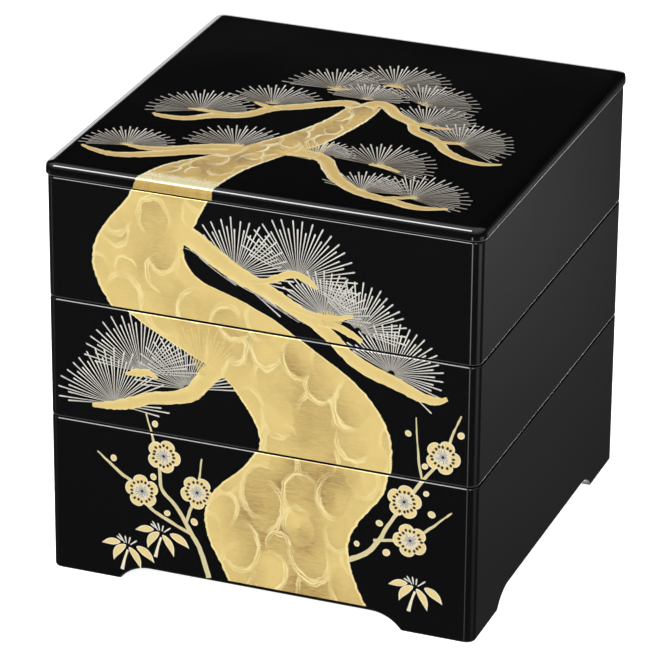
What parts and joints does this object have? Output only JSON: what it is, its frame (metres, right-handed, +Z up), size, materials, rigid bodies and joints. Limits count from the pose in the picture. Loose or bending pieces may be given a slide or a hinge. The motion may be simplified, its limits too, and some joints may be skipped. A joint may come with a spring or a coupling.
{
  "type": "tiered food box",
  "caption": "Square stacking food box: open trays in black gloss lacquer that nest by a rib, a flat lid and corner feet, with a gold and silver pine picture.",
  "frame": {"origin": "under the middle of the box, on the plane that the four feet stand on", "axes": "+Z up through the stack; the pictured front faces -Y; +X to the right of someone who looks at the front"},
  "size_m": [0.1968, 0.1968, 0.191],
  "materials": {
    "black_lacquer": "moulded resin sprayed with high gloss black lacquer",
    "gold_print": "thin gold print with a soft metallic sheen",
    "silver_print": "thin silver print with a soft metallic sheen"
  },
  "bodies": {
    "root": {"bottom_tier": "black_lacquer", "middle_tier": "black_lacquer", "top_tier": "black_lacquer", "lid": "black_lacquer"}
  },
  "joints": []
}
